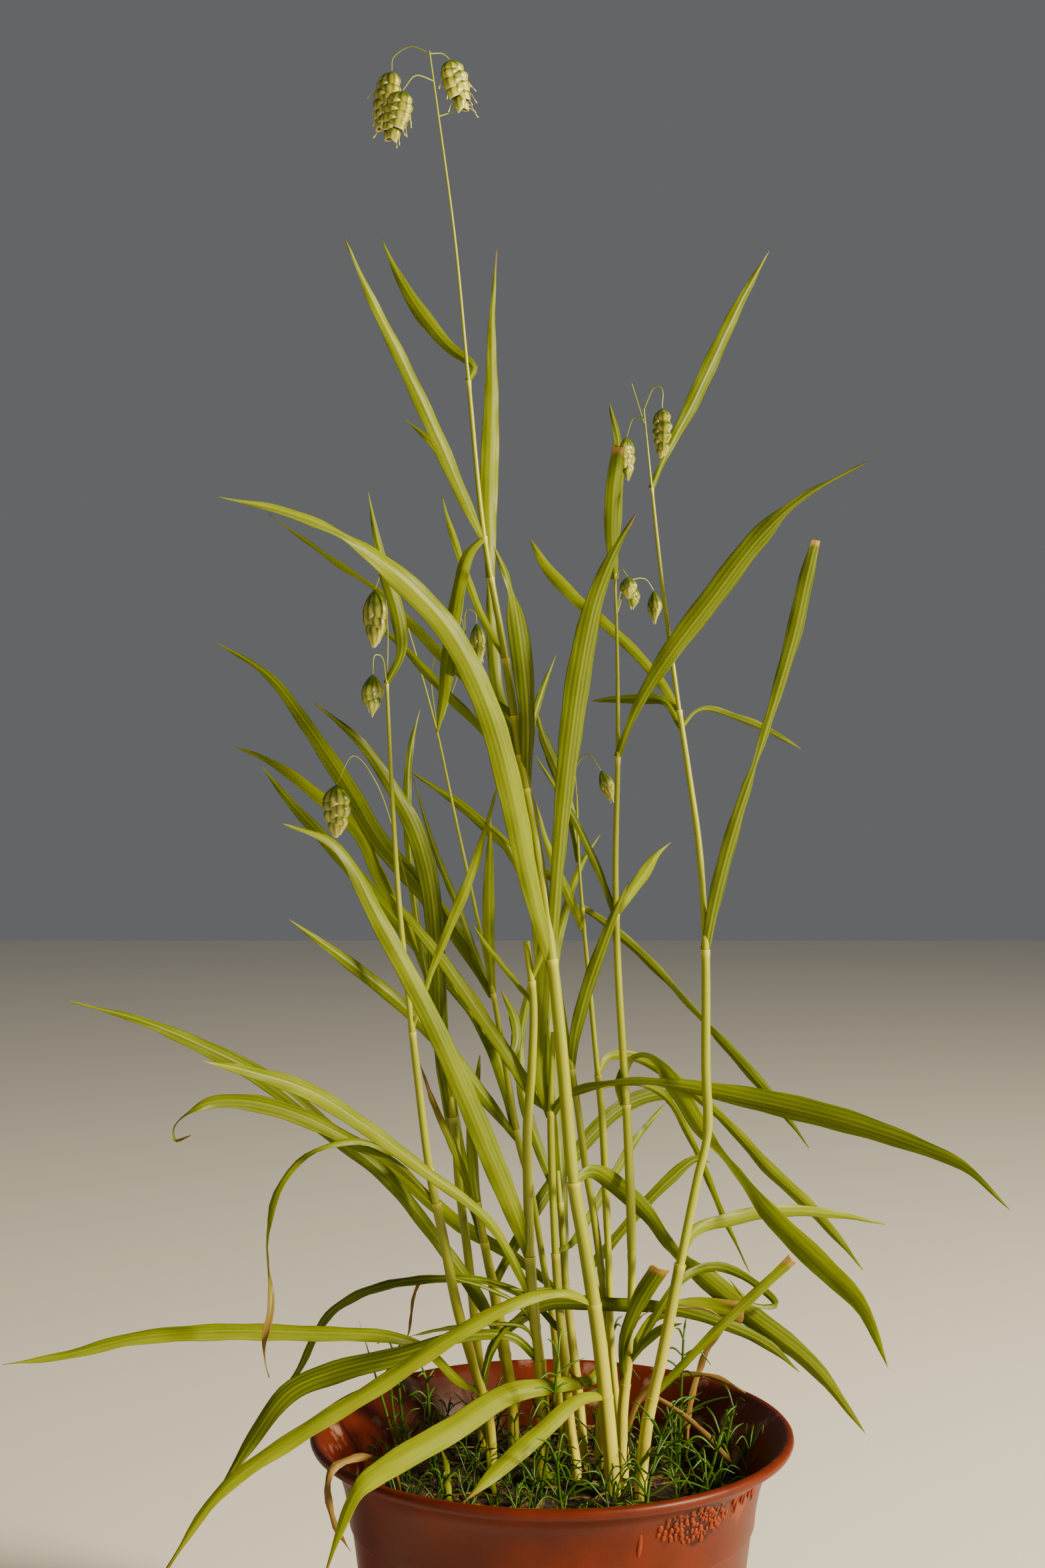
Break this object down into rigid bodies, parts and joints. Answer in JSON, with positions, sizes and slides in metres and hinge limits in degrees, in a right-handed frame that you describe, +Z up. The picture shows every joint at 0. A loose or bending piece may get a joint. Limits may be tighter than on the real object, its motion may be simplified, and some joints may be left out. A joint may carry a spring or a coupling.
{
  "type": "potted grass",
  "caption": "Clump of quaking grass with strap leaves and hanging spikelets, among a few small weeds, in a round flared plastic pot.",
  "frame": {"origin": "middle of the pot's base, at the height of the ground", "axes": "+Z up, along the plant, -Y towards the picture's viewer, +X to that viewer's right"},
  "size_m": [0.3399, 0.2085, 0.619],
  "materials": {
    "grass": "satin",
    "spikelet": "satin",
    "dry_leaf": "matte",
    "weed": "satin",
    "pot": "satin",
    "soil": "matte"
  },
  "bodies": {
    "root": {"culm_back": "grass", "culm_bent": "grass", "culm_bent_spikelet_1": "spikelet", "culm_inner": "grass", "culm_left": "grass", "culm_left_spikelet_1": "spikelet", "culm_left_spikelet_2": "spikelet", "culm_middle": "grass", "culm_middle_spikelet_1": "spikelet", "culm_middle_spikelet_2": "spikelet", "culm_middle_spikelet_3": "spikelet", "culm_pale": "grass", "culm_right": "grass", "culm_right_spikelet_1": "spikelet", "culm_right_spikelet_2": "spikelet", "culm_sheathed": "grass", "culm_sheathed_spikelet_1": "spikelet", "culm_tallest": "grass", "culm_tallest_spikelet_1": "spikelet", "culm_tallest_spikelet_2": "spikelet", "culm_tallest_spikelet_3": "spikelet", "culm_thin": "grass", "culm_thin_spikelet_1": "spikelet", "culm_thin_spikelet_2": "spikelet", "culm_thin_spikelet_3": "spikelet", "dry_leaf_hook": "dry_leaf", "dry_leaf_lip": "dry_leaf", "dry_leaf_right": "dry_leaf", "pot": "pot", "soil": "soil", "tiller_broad": "grass", "tiller_left": "grass", "weed_back": "weed", "weed_bud_stem": "weed", "weed_centre": "weed", "weed_far_right": "weed", "weed_front_left": "weed", "weed_front_middle": "weed", "weed_front_right": "weed", "weed_left": "weed", "weed_left_inner": "weed", "weed_right": "weed"}
  },
  "joints": []
}
